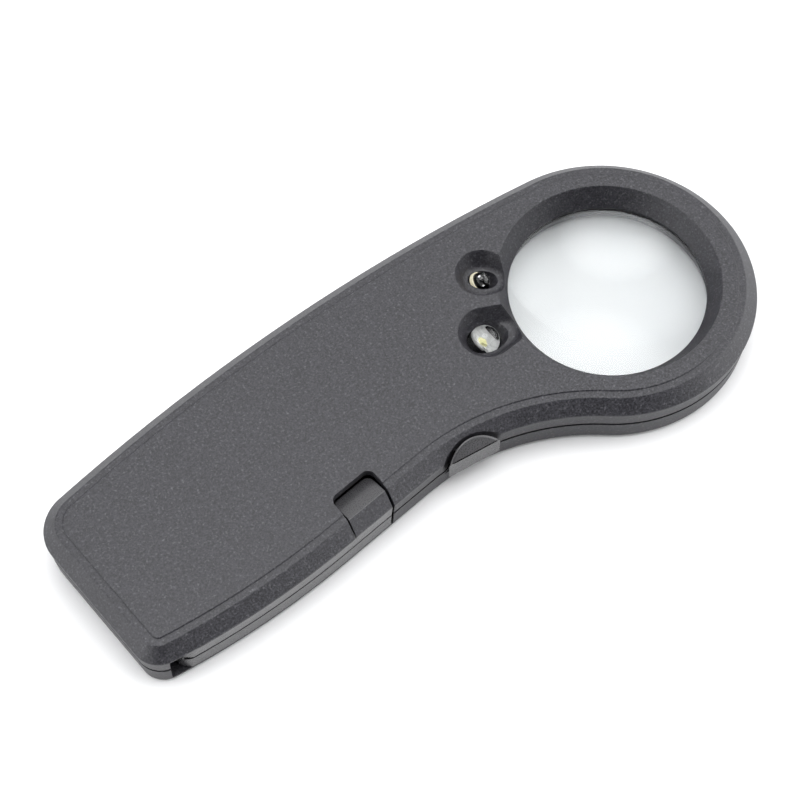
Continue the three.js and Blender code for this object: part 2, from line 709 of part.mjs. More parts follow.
add("battery_tray", batteryTray(), smoothPlastic());
add("tray_pivot_pin", post(PIVOT.x, PIVOT.y, PIN.radius, PIN.bottom, PIN.top, PIN.radius, 24), steel());
add("coin_cell_lower", coinCell(CELL.bottom), steel());
add("coin_cell_upper", coinCell(CELL.bottom + CELL_SPACING), steel());

// The negative strip lies on the floor under the lower cell and the positive one comes down on the upper.
const negativeFoot = new THREE.Vector2(-53.5, 4.5);
const positiveFoot = new THREE.Vector2(-60, 8.5);
const onFloor = FLOOR + 0.1;
add(
  "negative_contact",
  contactStrip(negativeFoot, cellCentre.clone().lerp(negativeFoot, 0.1), onFloor, onFloor),
  brightWire(),
);
add(
  "positive_contact",
  contactStrip(positiveFoot, cellCentre.clone().lerp(positiveFoot, 0.35), ROOF - 0.5, CELLS_TOP + 0.1),
  brightWire(),
);

SCREWS.forEach(([x, y], i) => add(`case_screw_${i + 1}`, caseScrew(x, y), steel()));

// The origin is the middle of the underside's box.
const box = new THREE.Box3().setFromObject(magnifier);
const middle = box.getCenter(new THREE.Vector3());
magnifier.position.set(-middle.x, -middle.y, -box.min.z);

export default magnifier;
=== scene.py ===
import math

import bpy
import bmesh
from mathutils import Matrix, Vector


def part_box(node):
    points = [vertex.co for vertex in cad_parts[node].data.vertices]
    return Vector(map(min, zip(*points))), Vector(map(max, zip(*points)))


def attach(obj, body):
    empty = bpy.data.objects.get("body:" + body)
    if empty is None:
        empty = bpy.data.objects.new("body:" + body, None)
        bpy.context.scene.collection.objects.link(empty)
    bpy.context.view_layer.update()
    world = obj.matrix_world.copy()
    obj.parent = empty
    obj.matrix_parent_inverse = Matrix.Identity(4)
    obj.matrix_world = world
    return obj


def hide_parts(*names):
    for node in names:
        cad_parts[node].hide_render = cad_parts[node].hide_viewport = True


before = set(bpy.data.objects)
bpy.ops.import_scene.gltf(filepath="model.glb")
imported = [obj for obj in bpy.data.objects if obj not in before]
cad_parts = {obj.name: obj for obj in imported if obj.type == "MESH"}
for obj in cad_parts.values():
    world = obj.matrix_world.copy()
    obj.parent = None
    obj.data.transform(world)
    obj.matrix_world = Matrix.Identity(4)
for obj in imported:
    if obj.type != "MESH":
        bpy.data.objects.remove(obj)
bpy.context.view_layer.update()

MM = 0.001

lens_low, lens_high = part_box("lens")
TO_FRAME = Matrix.Translation(((lens_low.x + lens_high.x) / 2, (lens_low.y + lens_high.y) / 2, 0))
TO_FRAME = TO_FRAME @ Matrix.Scale(MM, 4)

# ---------------------------------------------------------------- dimensions, close to the CAD's

# Heights: end of the foot's chamfer, floor, parting line, bottom and top of the bevel, raised face.
FOOT, FLOOR, PARTING, SHOULDER, BORDER, FACE = 0.9, 1.4, 5.0, 8.35, 10.5, 10.75
WALL = 1.5
ROOF = FACE - WALL
BEVEL = BORDER - SHOULDER
BORDER_WIDTH = 1.1
OVERLAP = 0.2  # how far a rib or post runs into the wall that it is joined to
TOP_DRAFT, BOTTOM_DRAFT, FOOT_DRAFT = 0.35, 0.35, 0.6
PARTING_GAP = 0.38
GROOVE_DEPTH, GROOVE_SINK = 0.9, 0.75
TONGUE_OUTER, TONGUE_INNER, TONGUE_TOP = 2.2, 2.9, 6.2

HEAD_RADIUS = 24.5
LENS_RADIUS, LENS_EDGE, LENS_CURVATURE = 17.4, (5.35, 6.95), 81.0
APERTURE, BEZEL, LENS_SEAT, LENS_RING = 16.4, 18.5, 7.3, 19.5

PIVOT = Vector((-86.6, -17.5))
HEEL = 4.6
TRAY_REACH = 35.6
SWING_ROOM = 0.45  # round the tray, wherever it moves past the casing
SLIT = 0.12  # between the tray's strip and the wall over and under it
BAY_REACH = TRAY_REACH + SWING_ROOM
BAY_END = -92.2
TAB_NEAR, TAB_DEPTH = 28.3, 6.5
SCOOP = 1.6  # how far the thumb's slope sinks
NOTCH_NEAR, NOTCH_DEPTH = TAB_NEAR - 0.28, TAB_DEPTH + 0.2
TRAY_SIDE = -78  # the way that the tray's outer side faces
CELL = Vector((-69.5, -8.0))
CELL_RADIUS, CELL_HEIGHT, CELL_BOTTOM = 10.0, 1.6, 2.9
CRADLE = CELL_RADIUS + 1.4

BUTTON_X, BUTTON_FACE, BUTTON_RADIUS, BUTTON_REAR, BUTTON_BOTTOM = -35.0, -15.1, 6.8, -13.2, 4.2
WELL = BUTTON_RADIUS + 2.0
STEM_HALF, STEM_ROOM, FLANGE_HALF = 2.5, 0.3, 5.6

LED_TILT = math.radians(45)
NOTCH_SIDE = math.radians(161)  # round the white LED's axis, the side that its plate is notched on
# An LED's dome centre lies at a distance and a bearing from the lens's centre, and at a height. Its body is
# the length behind that centre. Its pocket is a radius round it, and runs in to its mouth beside the lens.
WHITE_LED = {
    "distance": 22.7,
    "bearing": 175.2,
    "height": 7.4,
    "radius": 2.5,
    "flange": 2.85,
    "body": 4.4,
    "pocket": 4.7,
    "mouth": 19.6,
    "housing": 5.2,
}
UV_LED = {
    "distance": 20.8,
    "bearing": 145.2,
    "height": 7.5,
    "radius": 1.5,
    "flange": 1.9,
    "body": 3.4,
    "pocket": 4.45,
    "mouth": 19.4,
    "housing": 4.9,
}
FLANGE_THICK = 1.0
POCKET_FLOOR, POCKET_MOUTH, POCKET_SHIFT = 7.8, 3.9, 0.45

SCREWS = [(-92.8, 4.5), (-45.3, -9.6), (-24.5, 17.9), (-20.6, -11.0)]
SCREW_HEAD, SCREW_SHANK = 1.6, 0.75

# ---------------------------------------------------------------- outlines and profiles


def heading(degrees):
    return Vector((math.cos(math.radians(degrees)), math.sin(math.radians(degrees))))


# Tangent arcs, anticlockwise: signed radius, outward direction where the arc ends, steps, and whether a
# straight follows it.
ARCS = [
    (HEAD_RADIUS, 90.0, 100, False),
    (329.0, 106.7, 20, False),
    (7.3, 190.0, 26, True),
    (4.5, 269.7, 24, False),
    (144.0, 282.3, 12, True),
    (-38.5, 236.8, 32, False),
]


def arc_centres():
    """Each arc's centre: the straights take up what the arcs leave over."""
    left_over = Vector((0, 0))
    for i, (radius, until, _, _) in enumerate(ARCS):
        left_over += heading(until) * (ARCS[(i + 1) % len(ARCS)][0] - radius)
    first, second = [heading(arc[1] + 90) for arc in ARCS if arc[3]]
    area = first.cross(second)
    lengths = [left_over.cross(second) / area, first.cross(left_over) / area]
    centre = Vector((0, 0))
    centres = []
    for i, (radius, until, _, straight) in enumerate(ARCS):
        centres.append(centre.copy())
        centre += heading(until) * (radius - ARCS[(i + 1) % len(ARCS)][0])
        if straight:
            centre += heading(until + 90) * lengths.pop(0)
    return centres


CENTRES = arc_centres()


def outline(inset):
    """The casing's outline, a given distance inside its widest one."""
    points = []
    start = ARCS[-1][1] - 360
    for (radius, until, steps, straight), centre in zip(ARCS, CENTRES):
        for k in range(steps + straight):
            out = heading(start + (until - start) * k / steps)
            points.append(centre + out * (radius - inset))
        start = until
    return points


def rounded(corners, steps=5):
    """A path through corners (u, v, radius), each but the first and last rounded by its radius."""
    path = [Vector(corners[0][:2])]
    for i in range(1, len(corners) - 1):
        before, here, after = (Vector(corners[k][:2]) for k in (i - 1, i, i + 1))
        radius = corners[i][2]
        back, ahead = (before - here).normalized(), (after - here).normalized()
        angle = back.angle(ahead)
        if radius <= 0 or angle > math.radians(178):
            path.append(here)
            continue
        reach = radius / math.tan(angle / 2)
        centre = here + (back + ahead).normalized() * (radius / math.sin(angle / 2))
        first, last = here + back * reach - centre, here + ahead * reach - centre
        turn = first.angle_signed(last)
        for k in range(steps + 1):
            path.append(centre + Matrix.Rotation(-turn * k / steps, 2) @ first)
    path.append(Vector(corners[-1][:2]))
    return path


def circle(centre, radius, start=0.0, end=360.0, steps=64):
    closed = end - start == 360
    count = steps if closed else steps + 1
    return [Vector(centre) + heading(start + (end - start) * i / steps) * radius for i in range(count)]


def capsule(first, first_radius, second, second_radius, steps=28):
    """The outline of two circles and the two lines that touch them both."""
    across = second - first
    along = math.degrees(math.atan2(across.y, across.x))
    opening = math.degrees(math.acos((first_radius - second_radius) / across.length))
    return circle(first, first_radius, along + opening, along + 360 - opening, steps) + circle(
        second, second_radius, along - opening, along + opening, steps
    )


# ---------------------------------------------------------------- solids


def solid(points, faces, name="tool"):
    mesh = bpy.data.meshes.new(name)
    mesh.from_pydata([tuple(p) for p in points], [], faces)
    mesh.update()
    made = bpy.data.objects.new(name, mesh)
    bpy.context.scene.collection.objects.link(made)
    return made


def loft(rings):
    """A closed skin through rings of equal length [(z, points)], from the lowest to the highest."""
    count = len(rings[0][1])
    points = [(p.x, p.y, z) for z, ring in rings for p in ring]
    faces = [tuple(reversed(range(count)))]
    for level in range(len(rings) - 1):
        a = level * count
        for i in range(count):
            j = (i + 1) % count
            faces.append((a + i, a + j, a + count + j, a + count + i))
    faces.append(tuple(range((len(rings) - 1) * count, len(rings) * count)))
    return solid(points, faces)


def casing(corners, steps=5):
    """The casing's outline carried up a profile of (inset, z, rounding)."""
    return loft([(p.y, outline(p.x)) for p in rounded(corners, steps)])


def prism(points, bottom, top):
    return loft([(bottom, points), (top, points)])


def block(x0, x1, y0, y1, z0, z1):
    return prism([Vector((x0, y0)), Vector((x1, y0)), Vector((x1, y1)), Vector((x0, y1))], z0, z1)


def post(centre, radius, bottom, top, steps=64):
    return prism(circle(centre, radius, steps=steps), bottom, top)


def turned(path, steps=96, place=None):
    """A profile of (radius, height) turned about the upright axis, then moved by place if there is one."""
    rings = [p for p in path if p.x > 1e-6]
    points = [Vector((0, 0, path[0].y))]
    for p in rings:
        for i in range(steps):
            out = heading(360 * i / steps) * p.x
            points.append(Vector((out.x, out.y, p.y)))
    points.append(Vector((0, 0, path[-1].y)))
    top = len(points) - 1
    faces = [(0, 1 + (i + 1) % steps, 1 + i) for i in range(steps)]
    for level in range(len(rings) - 1):
        a = 1 + level * steps
        for i in range(steps):
            j = (i + 1) % steps
            faces.append((a + i, a + j, a + steps + j, a + steps + i))
    last = 1 + (len(rings) - 1) * steps
    faces += [(last + i, last + (i + 1) % steps, top) for i in range(steps)]
    made = solid(points, faces)
    if place is not None:
        made.data.transform(place)
        if place.determinant() < 0:
            made.data.flip_normals()
    return made


def combine(base, operation, tools):
    for tool in tools:
        step = base.modifiers.new("step", "BOOLEAN")
        step.operation = operation
        step.solver = "MANIFOLD"
        step.object = tool
    bpy.context.view_layer.update()
    shown = base.evaluated_get(bpy.context.evaluated_depsgraph_get())
    result = bpy.data.meshes.new_from_object(shown)
    base.modifiers.clear()
    base.data = result
    for tool in tools:
        bpy.data.objects.remove(tool)
    return base


def join(base, *tools):
    return combine(base, "UNION", tools)


def cut(base, *tools):
    return combine(base, "DIFFERENCE", tools)


def common(base, *tools):
    return combine(base, "INTERSECT", tools)


def beyond(direction, distance, size=400.0):
    """Everything on the far side of a plane: direction . p > distance."""
    direction = direction.normalized()
    made = block(-size, size, -size, size, 0, size)
    turn = direction.to_track_quat("Z", "Y").to_matrix().to_4x4()
    made.data.transform(Matrix.Translation(direction * distance) @ turn)
    return made


def finish_piece(made, name, body, material, slot, *nodes, sharp=32):
    """Sends a piece to the frame, with smooth shading that stops at its edges."""
    mesh = made.data
    work = bmesh.new()
    work.from_mesh(mesh)
    bmesh.ops.remove_doubles(work, verts=work.verts, dist=2e-4)
    bmesh.ops.dissolve_degenerate(work, dist=1e-4, edges=work.edges)
    work.to_mesh(mesh)
    work.free()
    mesh.transform(TO_FRAME)
    mesh.shade_smooth()
    mesh.set_sharp_from_angle(angle=math.radians(sharp))
    mesh.materials.clear()
    mesh.materials.append(material)
    for face in mesh.polygons:
        face.material_index = 0
    made.name = name
    mesh.name = name
    weigh = made.modifiers.new("even shading", "WEIGHTED_NORMAL")
    weigh.keep_sharp = True
    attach(made, body)
    if nodes:
        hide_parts(*nodes)
    return made


# ---------------------------------------------------------------- materials


def shader(name, **values):
    """A material with a Principled shader, and helpers to wire it."""
    made = bpy.data.materials.new(name)
    made.use_nodes = True
    tree = made.node_tree
    principled = tree.nodes["Principled BSDF"]
    for socket, value in values.items():
        principled.inputs[socket.replace("_", " ")].default_value = value
    return made, tree, principled


def grain(tree, scale, detail=2.0, roughness=0.5):
    coordinates = tree.nodes.new("ShaderNodeTexCoord")
    noise = tree.nodes.new("ShaderNodeTexNoise")
    noise.inputs["Scale"].default_value = scale
    noise.inputs["Detail"].default_value = detail
    noise.inputs["Roughness"].default_value = roughness
    tree.links.new(coordinates.outputs["Object"], noise.inputs["Vector"])
    return noise.outputs["Fac"]


def ramp(tree, value, *stops):
    made = tree.nodes.new("ShaderNodeValToRGB")
    colours = made.color_ramp.elements
    while len(colours) < len(stops):
        colours.new(0.5)
    for element, (position, colour) in zip(colours, stops):
        element.position = position
        element.color = (*colour, 1) if len(colour) == 3 else colour
    tree.links.new(value, made.inputs["Fac"])
    return made.outputs["Color"]


def spread(tree, value, low, high, start=0.3, end=0.7):
    """Maps a texture's value from start..end to low..high."""
    made = tree.nodes.new("ShaderNodeMapRange")
    made.inputs["From Min"].default_value = start
    made.inputs["From Max"].default_value = end
    made.inputs["To Min"].default_value = low
    made.inputs["To Max"].default_value = high
    tree.links.new(value, made.inputs["Value"])
    return made.outputs["Result"]


def bump(tree, principled, height, distance, strength=1.0, edge=0.0):
    """Grain on the surface, and the light that a moulded edge of that radius catches."""
    made = tree.nodes.new("ShaderNodeBump")
    if edge:
        rounding = tree.nodes.new("ShaderNodeBevel")
        rounding.samples = 6
        rounding.inputs["Radius"].default_value = edge
        tree.links.new(rounding.outputs["Normal"], made.inputs["Normal"])
    made.inputs["Distance"].default_value = distance
    made.inputs["Strength"].default_value = strength
    tree.links.new(height, made.inputs["Height"])
    tree.links.new(made.outputs["Normal"], principled.inputs["Normal"])


def speckled_plastic():
    made, tree, principled = shader("speckled_plastic", IOR=1.5)
    fine = grain(tree, 3400, 3.0, 0.7)
    sparks = grain(tree, 2500, 2.0, 0.5)
    body = ramp(tree, fine, (0.38, (0.004, 0.004, 0.006)), (0.64, (0.034, 0.033, 0.040)))
    light = ramp(tree, sparks, (0.56, (0, 0, 0)), (0.80, (0.06, 0.06, 0.063)))
    total = tree.nodes.new("ShaderNodeMix")
    total.data_type = "RGBA"
    total.blend_type = "ADD"
    total.inputs["Factor"].default_value = 1.0
    tree.links.new(body, total.inputs["A"])
    tree.links.new(light, total.inputs["B"])
    tree.links.new(total.outputs["Result"], principled.inputs["Base Color"])
    tree.links.new(spread(tree, fine, 0.36, 0.58), principled.inputs["Roughness"])
    bump(tree, principled, fine, 0.00006, 0.5, 0.00016)
    return made


def smooth_plastic():
    made, tree, principled = shader("smooth_plastic", IOR=1.62)
    cloud = grain(tree, 420, 2.0)
    fine = grain(tree, 5200, 2.0)
    tree.links.new(
        ramp(tree, cloud, (0.3, (0.034, 0.034, 0.036)), (0.7, (0.043, 0.042, 0.045))),
        principled.inputs["Base Color"],
    )
    tree.links.new(spread(tree, fine, 0.24, 0.34), principled.inputs["Roughness"])
    bump(tree, principled, fine, 0.00001, 0.3, 0.00016)
    return made


def clear_resin(name, tint_low, tint_high, ior):
    made, tree, principled = shader(name, Transmission_Weight=1.0, IOR=ior)
    cloud = grain(tree, 90, 1.0)
    tree.links.new(ramp(tree, cloud, (0.3, tint_low), (0.7, tint_high)), principled.inputs["Base Color"])
    tree.links.new(spread(tree, cloud, 0.0, 0.012), principled.inputs["Roughness"])
    return made


def metal(name, low, high, scale, rough=(0.18, 0.34)):
    made, tree, principled = shader(name, Metallic=1.0)
    cloud = grain(tree, scale, 3.0)
    tree.links.new(ramp(tree, cloud, (0.3, low), (0.7, high)), principled.inputs["Base Color"])
    tree.links.new(spread(tree, cloud, *rough), principled.inputs["Roughness"])
    bump(tree, principled, cloud, 0.00001, 0.25)
    return made


def moulded(name, low, high, rough=(0.3, 0.45)):
    made, tree, principled = shader(name)
    fine = grain(tree, 2600, 2.0)
    tree.links.new(ramp(tree, fine, (0.35, low), (0.65, high)), principled.inputs["Base Color"])
    tree.links.new(spread(tree, fine, *rough), principled.inputs["Roughness"])
    bump(tree, principled, fine, 0.00001, 0.4)
    return made


SPECKLED = speckled_plastic()
SMOOTH = smooth_plastic()
LENS_GLASS = clear_resin("lens_acrylic", (0.975, 0.995, 1.0), (0.985, 1.0, 1.0), 1.49)
EPOXY = clear_resin("clear_epoxy", (0.95, 0.955, 0.95), (0.99, 0.99, 0.985), 1.52)
STEEL = metal("plated_steel", (0.58, 0.58, 0.60), (0.72, 0.72, 0.74), 900)
CELL_STEEL = metal("stainless_can", (0.66, 0.67, 0.69), (0.80, 0.80, 0.82), 500, (0.16, 0.26))
TINNED = metal("tinned_metal", (0.68, 0.69, 0.70), (0.84, 0.84, 0.85), 1500, (0.2, 0.36))
BOARD_GREEN = moulded("solder_mask", (0.016, 0.085, 0.045), (0.024, 0.12, 0.06), (0.25, 0.4))
BLACK = moulded("black_moulding", (0.014, 0.014, 0.015), (0.026, 0.026, 0.028))
RED = moulded("red_moulding", (0.32, 0.02, 0.015), (0.42, 0.03, 0.02))
PHOSPHOR = moulded("phosphor", (0.78, 0.76, 0.36), (0.95, 0.92, 0.55), (0.5, 0.7))
REFLECTOR = moulded("reflector_cup", (0.62, 0.63, 0.62), (0.80, 0.81, 0.80), (0.25, 0.4))
GOLDEN = moulded("warm_reflector", (0.80, 0.72, 0.48), (0.95, 0.90, 0.72), (0.25, 0.4))

# ---------------------------------------------------------------- shared regions

EDGE = 0.12  # rounding of moulded edges at the parting line and slits


def upper_hull(bottom=PARTING + PARTING_GAP / 2):
    return casing(
        [
            (TOP_DRAFT + 2.0, bottom, 0),
            (TOP_DRAFT + 0.01, bottom, EDGE),
            (0, SHOULDER, 0.4),
            (BEVEL, BORDER, 0.45),
            (BEVEL + BORDER_WIDTH, BORDER, 0.1),
            (BEVEL + BORDER_WIDTH + 0.15, FACE, 0.14),
            (BEVEL + BORDER_WIDTH + 0.8, FACE, 0),
        ]
    )


def lower_hull(top=PARTING - PARTING_GAP / 2):
    return casing(
        [
            (FOOT_DRAFT + FOOT + 0.6, 0, 0),
            (FOOT_DRAFT + FOOT, 0, 0.3),
            (FOOT_DRAFT, FOOT, 0.5),
            (BOTTOM_DRAFT, top, EDGE),
            (BOTTOM_DRAFT + 2.0, top, 0),
        ]
    )


def level_casing(inset, bottom, top):
    """The outline carried straight up, an inset inside its widest."""
    return casing([(inset, bottom, 0), (inset, top, 0)])


def bay(reach, left, bottom, top):
    """The part of the side that the tray closes, from the fixed corner to the tray's free end."""
    return common(post(PIVOT, reach, bottom, top, 160), block(left, 0, -60, 0, bottom - 1, top + 1))


SIDE_ARC = 4  # the arc that the tray's straight side follows
SIDE = heading(ARCS[SIDE_ARC][1])


def side_distance(inset):
    """How far the straight side lies from the origin, an inset inside the outline."""
    return CENTRES[SIDE_ARC].dot(SIDE) + ARCS[SIDE_ARC][0] - inset


def on_side(reach, depth):
    """The point at a distance from the pin and a depth behind the side."""
    along = heading(ARCS[SIDE_ARC][1] - 270)
    from_pin = SIDE * side_distance(depth) - PIVOT
    lead = from_pin.dot(along)
    return PIVOT + from_pin + along * (math.sqrt(lead**2 - from_pin.length_squared + reach**2) - lead)


def tab_region(near, far, depth, bottom, top, corner):
    """Between two arcs about the pin, from the side to a depth, with rounded inner corners."""
    path = []
    for reach, rising in ((near, True), (far, False)):
        inner = on_side(reach, depth) - PIVOT
        angle = math.degrees(math.atan2(inner.y, inner.x))
        side = [(*(PIVOT + heading(angle - step) * reach), 0) for step in range(4, 29, 4)]
        side = [*reversed(side), (*(PIVOT + inner), corner)]
        path += side if rising else list(reversed(side))
    return prism(list(reversed(rounded(path, 8))), bottom, top)


def tray_plan(margin, bottom, top):
    """The tray's plate in plan, grown by a margin: heel, cradle and free end, with room on the outside."""
    outwards = heading(TRAY_SIDE) * 20
    end_corner = Vector((-54, -11 + margin))
    heel = prism(capsule(PIVOT, HEEL + margin, CELL, CRADLE + margin), bottom, top)
    to_side = prism([PIVOT, PIVOT + outwards, CELL + outwards, CELL], bottom, top)
    web = prism([CELL, end_corner + outwards, Vector((-50.2 + margin, -14)), end_corner], bottom, top)
    swept = bay(TRAY_REACH + margin, -110, bottom, top)
    room = join(swept, post(CELL, CRADLE + margin, bottom, top, 96))
    return common(join(heel, to_side, web), room)


def led_place(led):
    """Puts a turned profile on the LED's axis, with its height 0 at the dome's centre."""
    towards = heading(led["bearing"] + 180)
    axis = Vector((*(towards * math.cos(LED_TILT)), math.sin(LED_TILT)))
    side = Vector((-towards.y, towards.x, 0))
    third = axis.cross(side)
    base = heading(led["bearing"]) * led["distance"]
    return Matrix(
        (
            (side.x, third.x, axis.x, base.x),
            (side.y, third.y, axis.y, base.y),
            (side.z, third.z, axis.z, led["height"]),
            (0, 0, 0, 1),
        )
    )


def led_clearance(led, loose=0.25):
    behind, room = FLANGE_THICK + 0.3 - led["body"], -led["body"] - 0.6
    path = [
        (0, room),
        (led["flange"] + loose, room),
        (led["flange"] + loose, behind),
        (led["radius"] + loose, behind),
        (led["radius"] + loose, led["radius"] + 1),
        (0, led["radius"] + 1),
    ]
    return turned([Vector(p) for p in path], 48, led_place(led))


def pocket(led):
    """The bowl that the LED shines out of, with a low ridge between it and the lens."""
    bearing, far_radius = led["bearing"], led["pocket"]
    shift = heading(bearing + 90) * POCKET_SHIFT
    outer = heading(bearing) * led["distance"] + shift
    inner = heading(bearing) * led["mouth"] + shift
    profile = rounded(
        [
            (2.9, POCKET_FLOOR, 0),
            (1.6, POCKET_FLOOR, 1.3),
            (0, FACE + 0.01, 0.3),
            (-0.5, FACE + 0.01, 0),
        ],
        9,
    )
    profile[-1] = Vector((profile[-2].x - 0.02, FACE + 1))
    return loft([(p.y, capsule(inner, POCKET_MOUTH - p.x, outer, far_radius - p.x)) for p in profile])


def pocket_housing(led):
    """The block under the roof that the pocket is sunk into."""
    radius = led["housing"]
    outer = heading(led["bearing"]) * led["distance"]
    inner = heading(led["bearing"]) * LENS_RING
    return prism(capsule(inner, radius, outer, radius + 0.001), POCKET_FLOOR - 1.2, ROOF + OVERLAP)


def button_well(bottom, top):
    """The round recess that the button stands in."""
    return post((BUTTON_X, BUTTON_REAR + 0.45 - WELL), WELL, bottom, top, 128)


def stem_hole():
    """The window in the shells' walls that the button's stem goes through."""
    half = STEM_HALF + STEM_ROOM
    return block(BUTTON_X - half, BUTTON_X + half, -14.5, -10, 4.5, 8.05)


# ---------------------------------------------------------------- casing shells


def cone():
    """The way through the top shell to the lens: recess, lip and flared bezel with a rounded rim."""
    path = rounded(
        [
            (0, PARTING - 1, 0),
            (LENS_RADIUS + 0.3, PARTING - 1, 0),
            (LENS_RADIUS + 0.3, LENS_SEAT - 0.35, 0),
            (APERTURE, LENS_SEAT - 0.35, 0),
            (APERTURE, LENS_SEAT, 0.15),
            (BEZEL, FACE + 0.01, 0.35),
            (BEZEL + 0.6, FACE + 0.01, 0),
        ],
        6,
    )
    path[-1] = Vector((path[-2].x + 0.02, FACE + 1))
    path.append(Vector((0, FACE + 1)))
    return turned(path, 160)


def top_shell():
    hollow = [(TOP_DRAFT + WALL, PARTING - 1, 0), (WALL + 0.1, SHOULDER - 0.6, 0), (BEVEL + 0.85, ROOF, 0)]
    shell = cut(upper_hull(), casing(hollow))
    join(
        shell,
        post((0, 0), LENS_RING, PARTING + 0.3, ROOF + OVERLAP, 96),
        pocket_housing(WHITE_LED),
        pocket_housing(UV_LED),
        post(PIVOT, 2.2, SHOULDER - OVERLAP, ROOF + OVERLAP),
        *[post(at, 2.1, PARTING + 0.6, ROOF + OVERLAP, 32) for at in SCREWS],
    )
    cut(
        shell,
        cone(),
        pocket(WHITE_LED),
        pocket(UV_LED),
        led_clearance(WHITE_LED, 0.12),
        led_clearance(UV_LED, 0.25),
        cut(bay(BAY_REACH, BAY_END, PARTING - 1, SHOULDER - SLIT), level_casing(2.3, PARTING - 2, FACE)),
        tray_plan(SWING_ROOM, PARTING - 1, SHOULDER - 0.35),
        tab_region(NOTCH_NEAR, BAY_REACH, NOTCH_DEPTH, SHOULDER - 2, FACE + 1, 1.3),
        button_well(BUTTON_BOTTOM - 1, FACE + 1),
        stem_hole(),
        post(PIVOT, 1.05, SHOULDER - 1, ROOF + 0.5, 32),
    )
    return shell


def bottom_shell():
    shell = cut(lower_hull(), level_casing(TONGUE_INNER, FLOOR, PARTING + 3))
    tongue = level_casing(TONGUE_OUTER, FLOOR, TONGUE_TOP)
    join(
        shell,
        cut(tongue, level_casing(TONGUE_INNER, FLOOR - 1, TONGUE_TOP + 1)),
        post((0, 0), LENS_RING, 0.5, PARTING, 96),
        *[post(at, 2.5, FLOOR - OVERLAP, PARTING + 0.3, 32) for at in SCREWS],
    )
    opening = rounded(
        [
            (0, -1, 0),
            (APERTURE + 2.2, -1, 0),
            (APERTURE + 1.4, 0, 0.3),
            (APERTURE, 2.6, 0),
            (APERTURE, PARTING + 1, 0),
        ]
    )
    cut(
        shell,
        turned([*opening, Vector((0, PARTING + 1))], 160),
        parting_groove(),
        cut(bay(BAY_REACH, BAY_END, FLOOR, TONGUE_TOP + 1), level_casing(3.2, 0, FACE)),
        tray_plan(SWING_ROOM, FLOOR, TONGUE_TOP + 1),
        button_well(BUTTON_BOTTOM - 0.3, TONGUE_TOP + 1),
        stem_hole(),
        block(BUTTON_X - 7, BUTTON_X + 7, -12.35, -9, 2.6, TONGUE_TOP + 1),
        led_clearance(WHITE_LED),
        led_clearance(UV_LED),
        post(PIVOT, 1.05, 0.8, FLOOR + 1, 32),
        *[post(at, SCREW_SHANK + 0.15, -1, PARTING + 1, 32) for at in SCREWS],
        *[post(at, SCREW_HEAD + 0.3, -1, 1.7, 32) for at in SCREWS],
    )
    return shell


# ---------------------------------------------------------------- battery tray and button

TRAY_BOTTOM = FLOOR + 0.55


def parting_groove():
    """The shadow line between the shells: open at the side and sinking inwards along its lower face."""
    low, high = PARTING - PARTING_GAP / 2, PARTING + PARTING_GAP / 2
    back = BOTTOM_DRAFT + GROOVE_DEPTH
    wedge = casing([(back, low - GROOVE_SINK, 0), (BOTTOM_DRAFT, low, 0), (-1, low, 0), (-1, high, 0)])
    return cut(wedge, level_casing(back, low - 2, high + 1))


def heel_groove():
    """The shadow line carried on round the heel."""
    low, high = PARTING - PARTING_GAP / 2, PARTING + PARTING_GAP / 2
    ring = cut(post(PIVOT, HEEL + 2, low, high, 96), post(PIVOT, HEEL - 0.4, low - 1, high + 1, 96))
    return common(ring, block(-120, PIVOT.x, -60, PIVOT.y + 3, low - 1, high + 1))


def thumb_scoop():
    """The slope that a thumb pulls on, sinking from the bevel's top to the notch's back."""
    sink = SCOOP / (TAB_DEPTH - BEVEL)
    slope = Vector((-SIDE.x * sink, -SIDE.y * sink, 1))
    height = (BORDER - sink * side_distance(BEVEL)) / slope.length
    return common(beyond(slope, height), post(PIVOT, TRAY_REACH + 1, SHOULDER - 1, FACE + 1, 32))


def battery_tray():
    upper, lower = upper_hull(PARTING - 0.02), lower_hull(PARTING + 0.02)
    hull = join(upper, lower)
    hull_copy = hull.copy()
    hull_copy.data = hull.data.copy()
    bpy.context.scene.collection.objects.link(hull_copy)
    band = cut(hull, level_casing(2.0, -1, FACE + 1))
    heel_clear = BAY_END + 1.3
    wall = common(band, bay(TRAY_REACH, heel_clear, FLOOR + SLIT, SHOULDER - SLIT - SLIT))
    heel_cap = block(heel_clear - 2, PIVOT.x, -40, PIVOT.y, 0, FACE)
    cut(wall, cut(heel_cap, post(PIVOT, HEEL + 0.1, -1, FACE + 1, 96)))
    tab = common(tab_region(TAB_NEAR, TRAY_REACH, TAB_DEPTH, TRAY_BOTTOM, FACE + 1, 1.1), hull_copy)
    plate = common(tray_plan(0, TRAY_BOTTOM, CELL_BOTTOM - 0.1), level_casing(FOOT_DRAFT, 0, FACE))
    cradle = post(CELL, CRADLE, TRAY_BOTTOM, CELL_BOTTOM + 3.2, 128)
    common(cradle, level_casing(FOOT_DRAFT, 0, FACE))
    hub = post(PIVOT, HEEL - 0.5, TRAY_BOTTOM, SHOULDER - 0.5, 64)
    tray = join(wall, tab, plate, cradle, hub)
    cut(
        tray,
        post(CELL, CELL_RADIUS + 0.25, CELL_BOTTOM - 0.1, FACE, 128),
        post(CELL, 6, 0, FACE, 96),
        post(PIVOT, 1.15, 0, FACE, 32),
        parting_groove(),
        heel_groove(),
        thumb_scoop(),
    )
    return tray


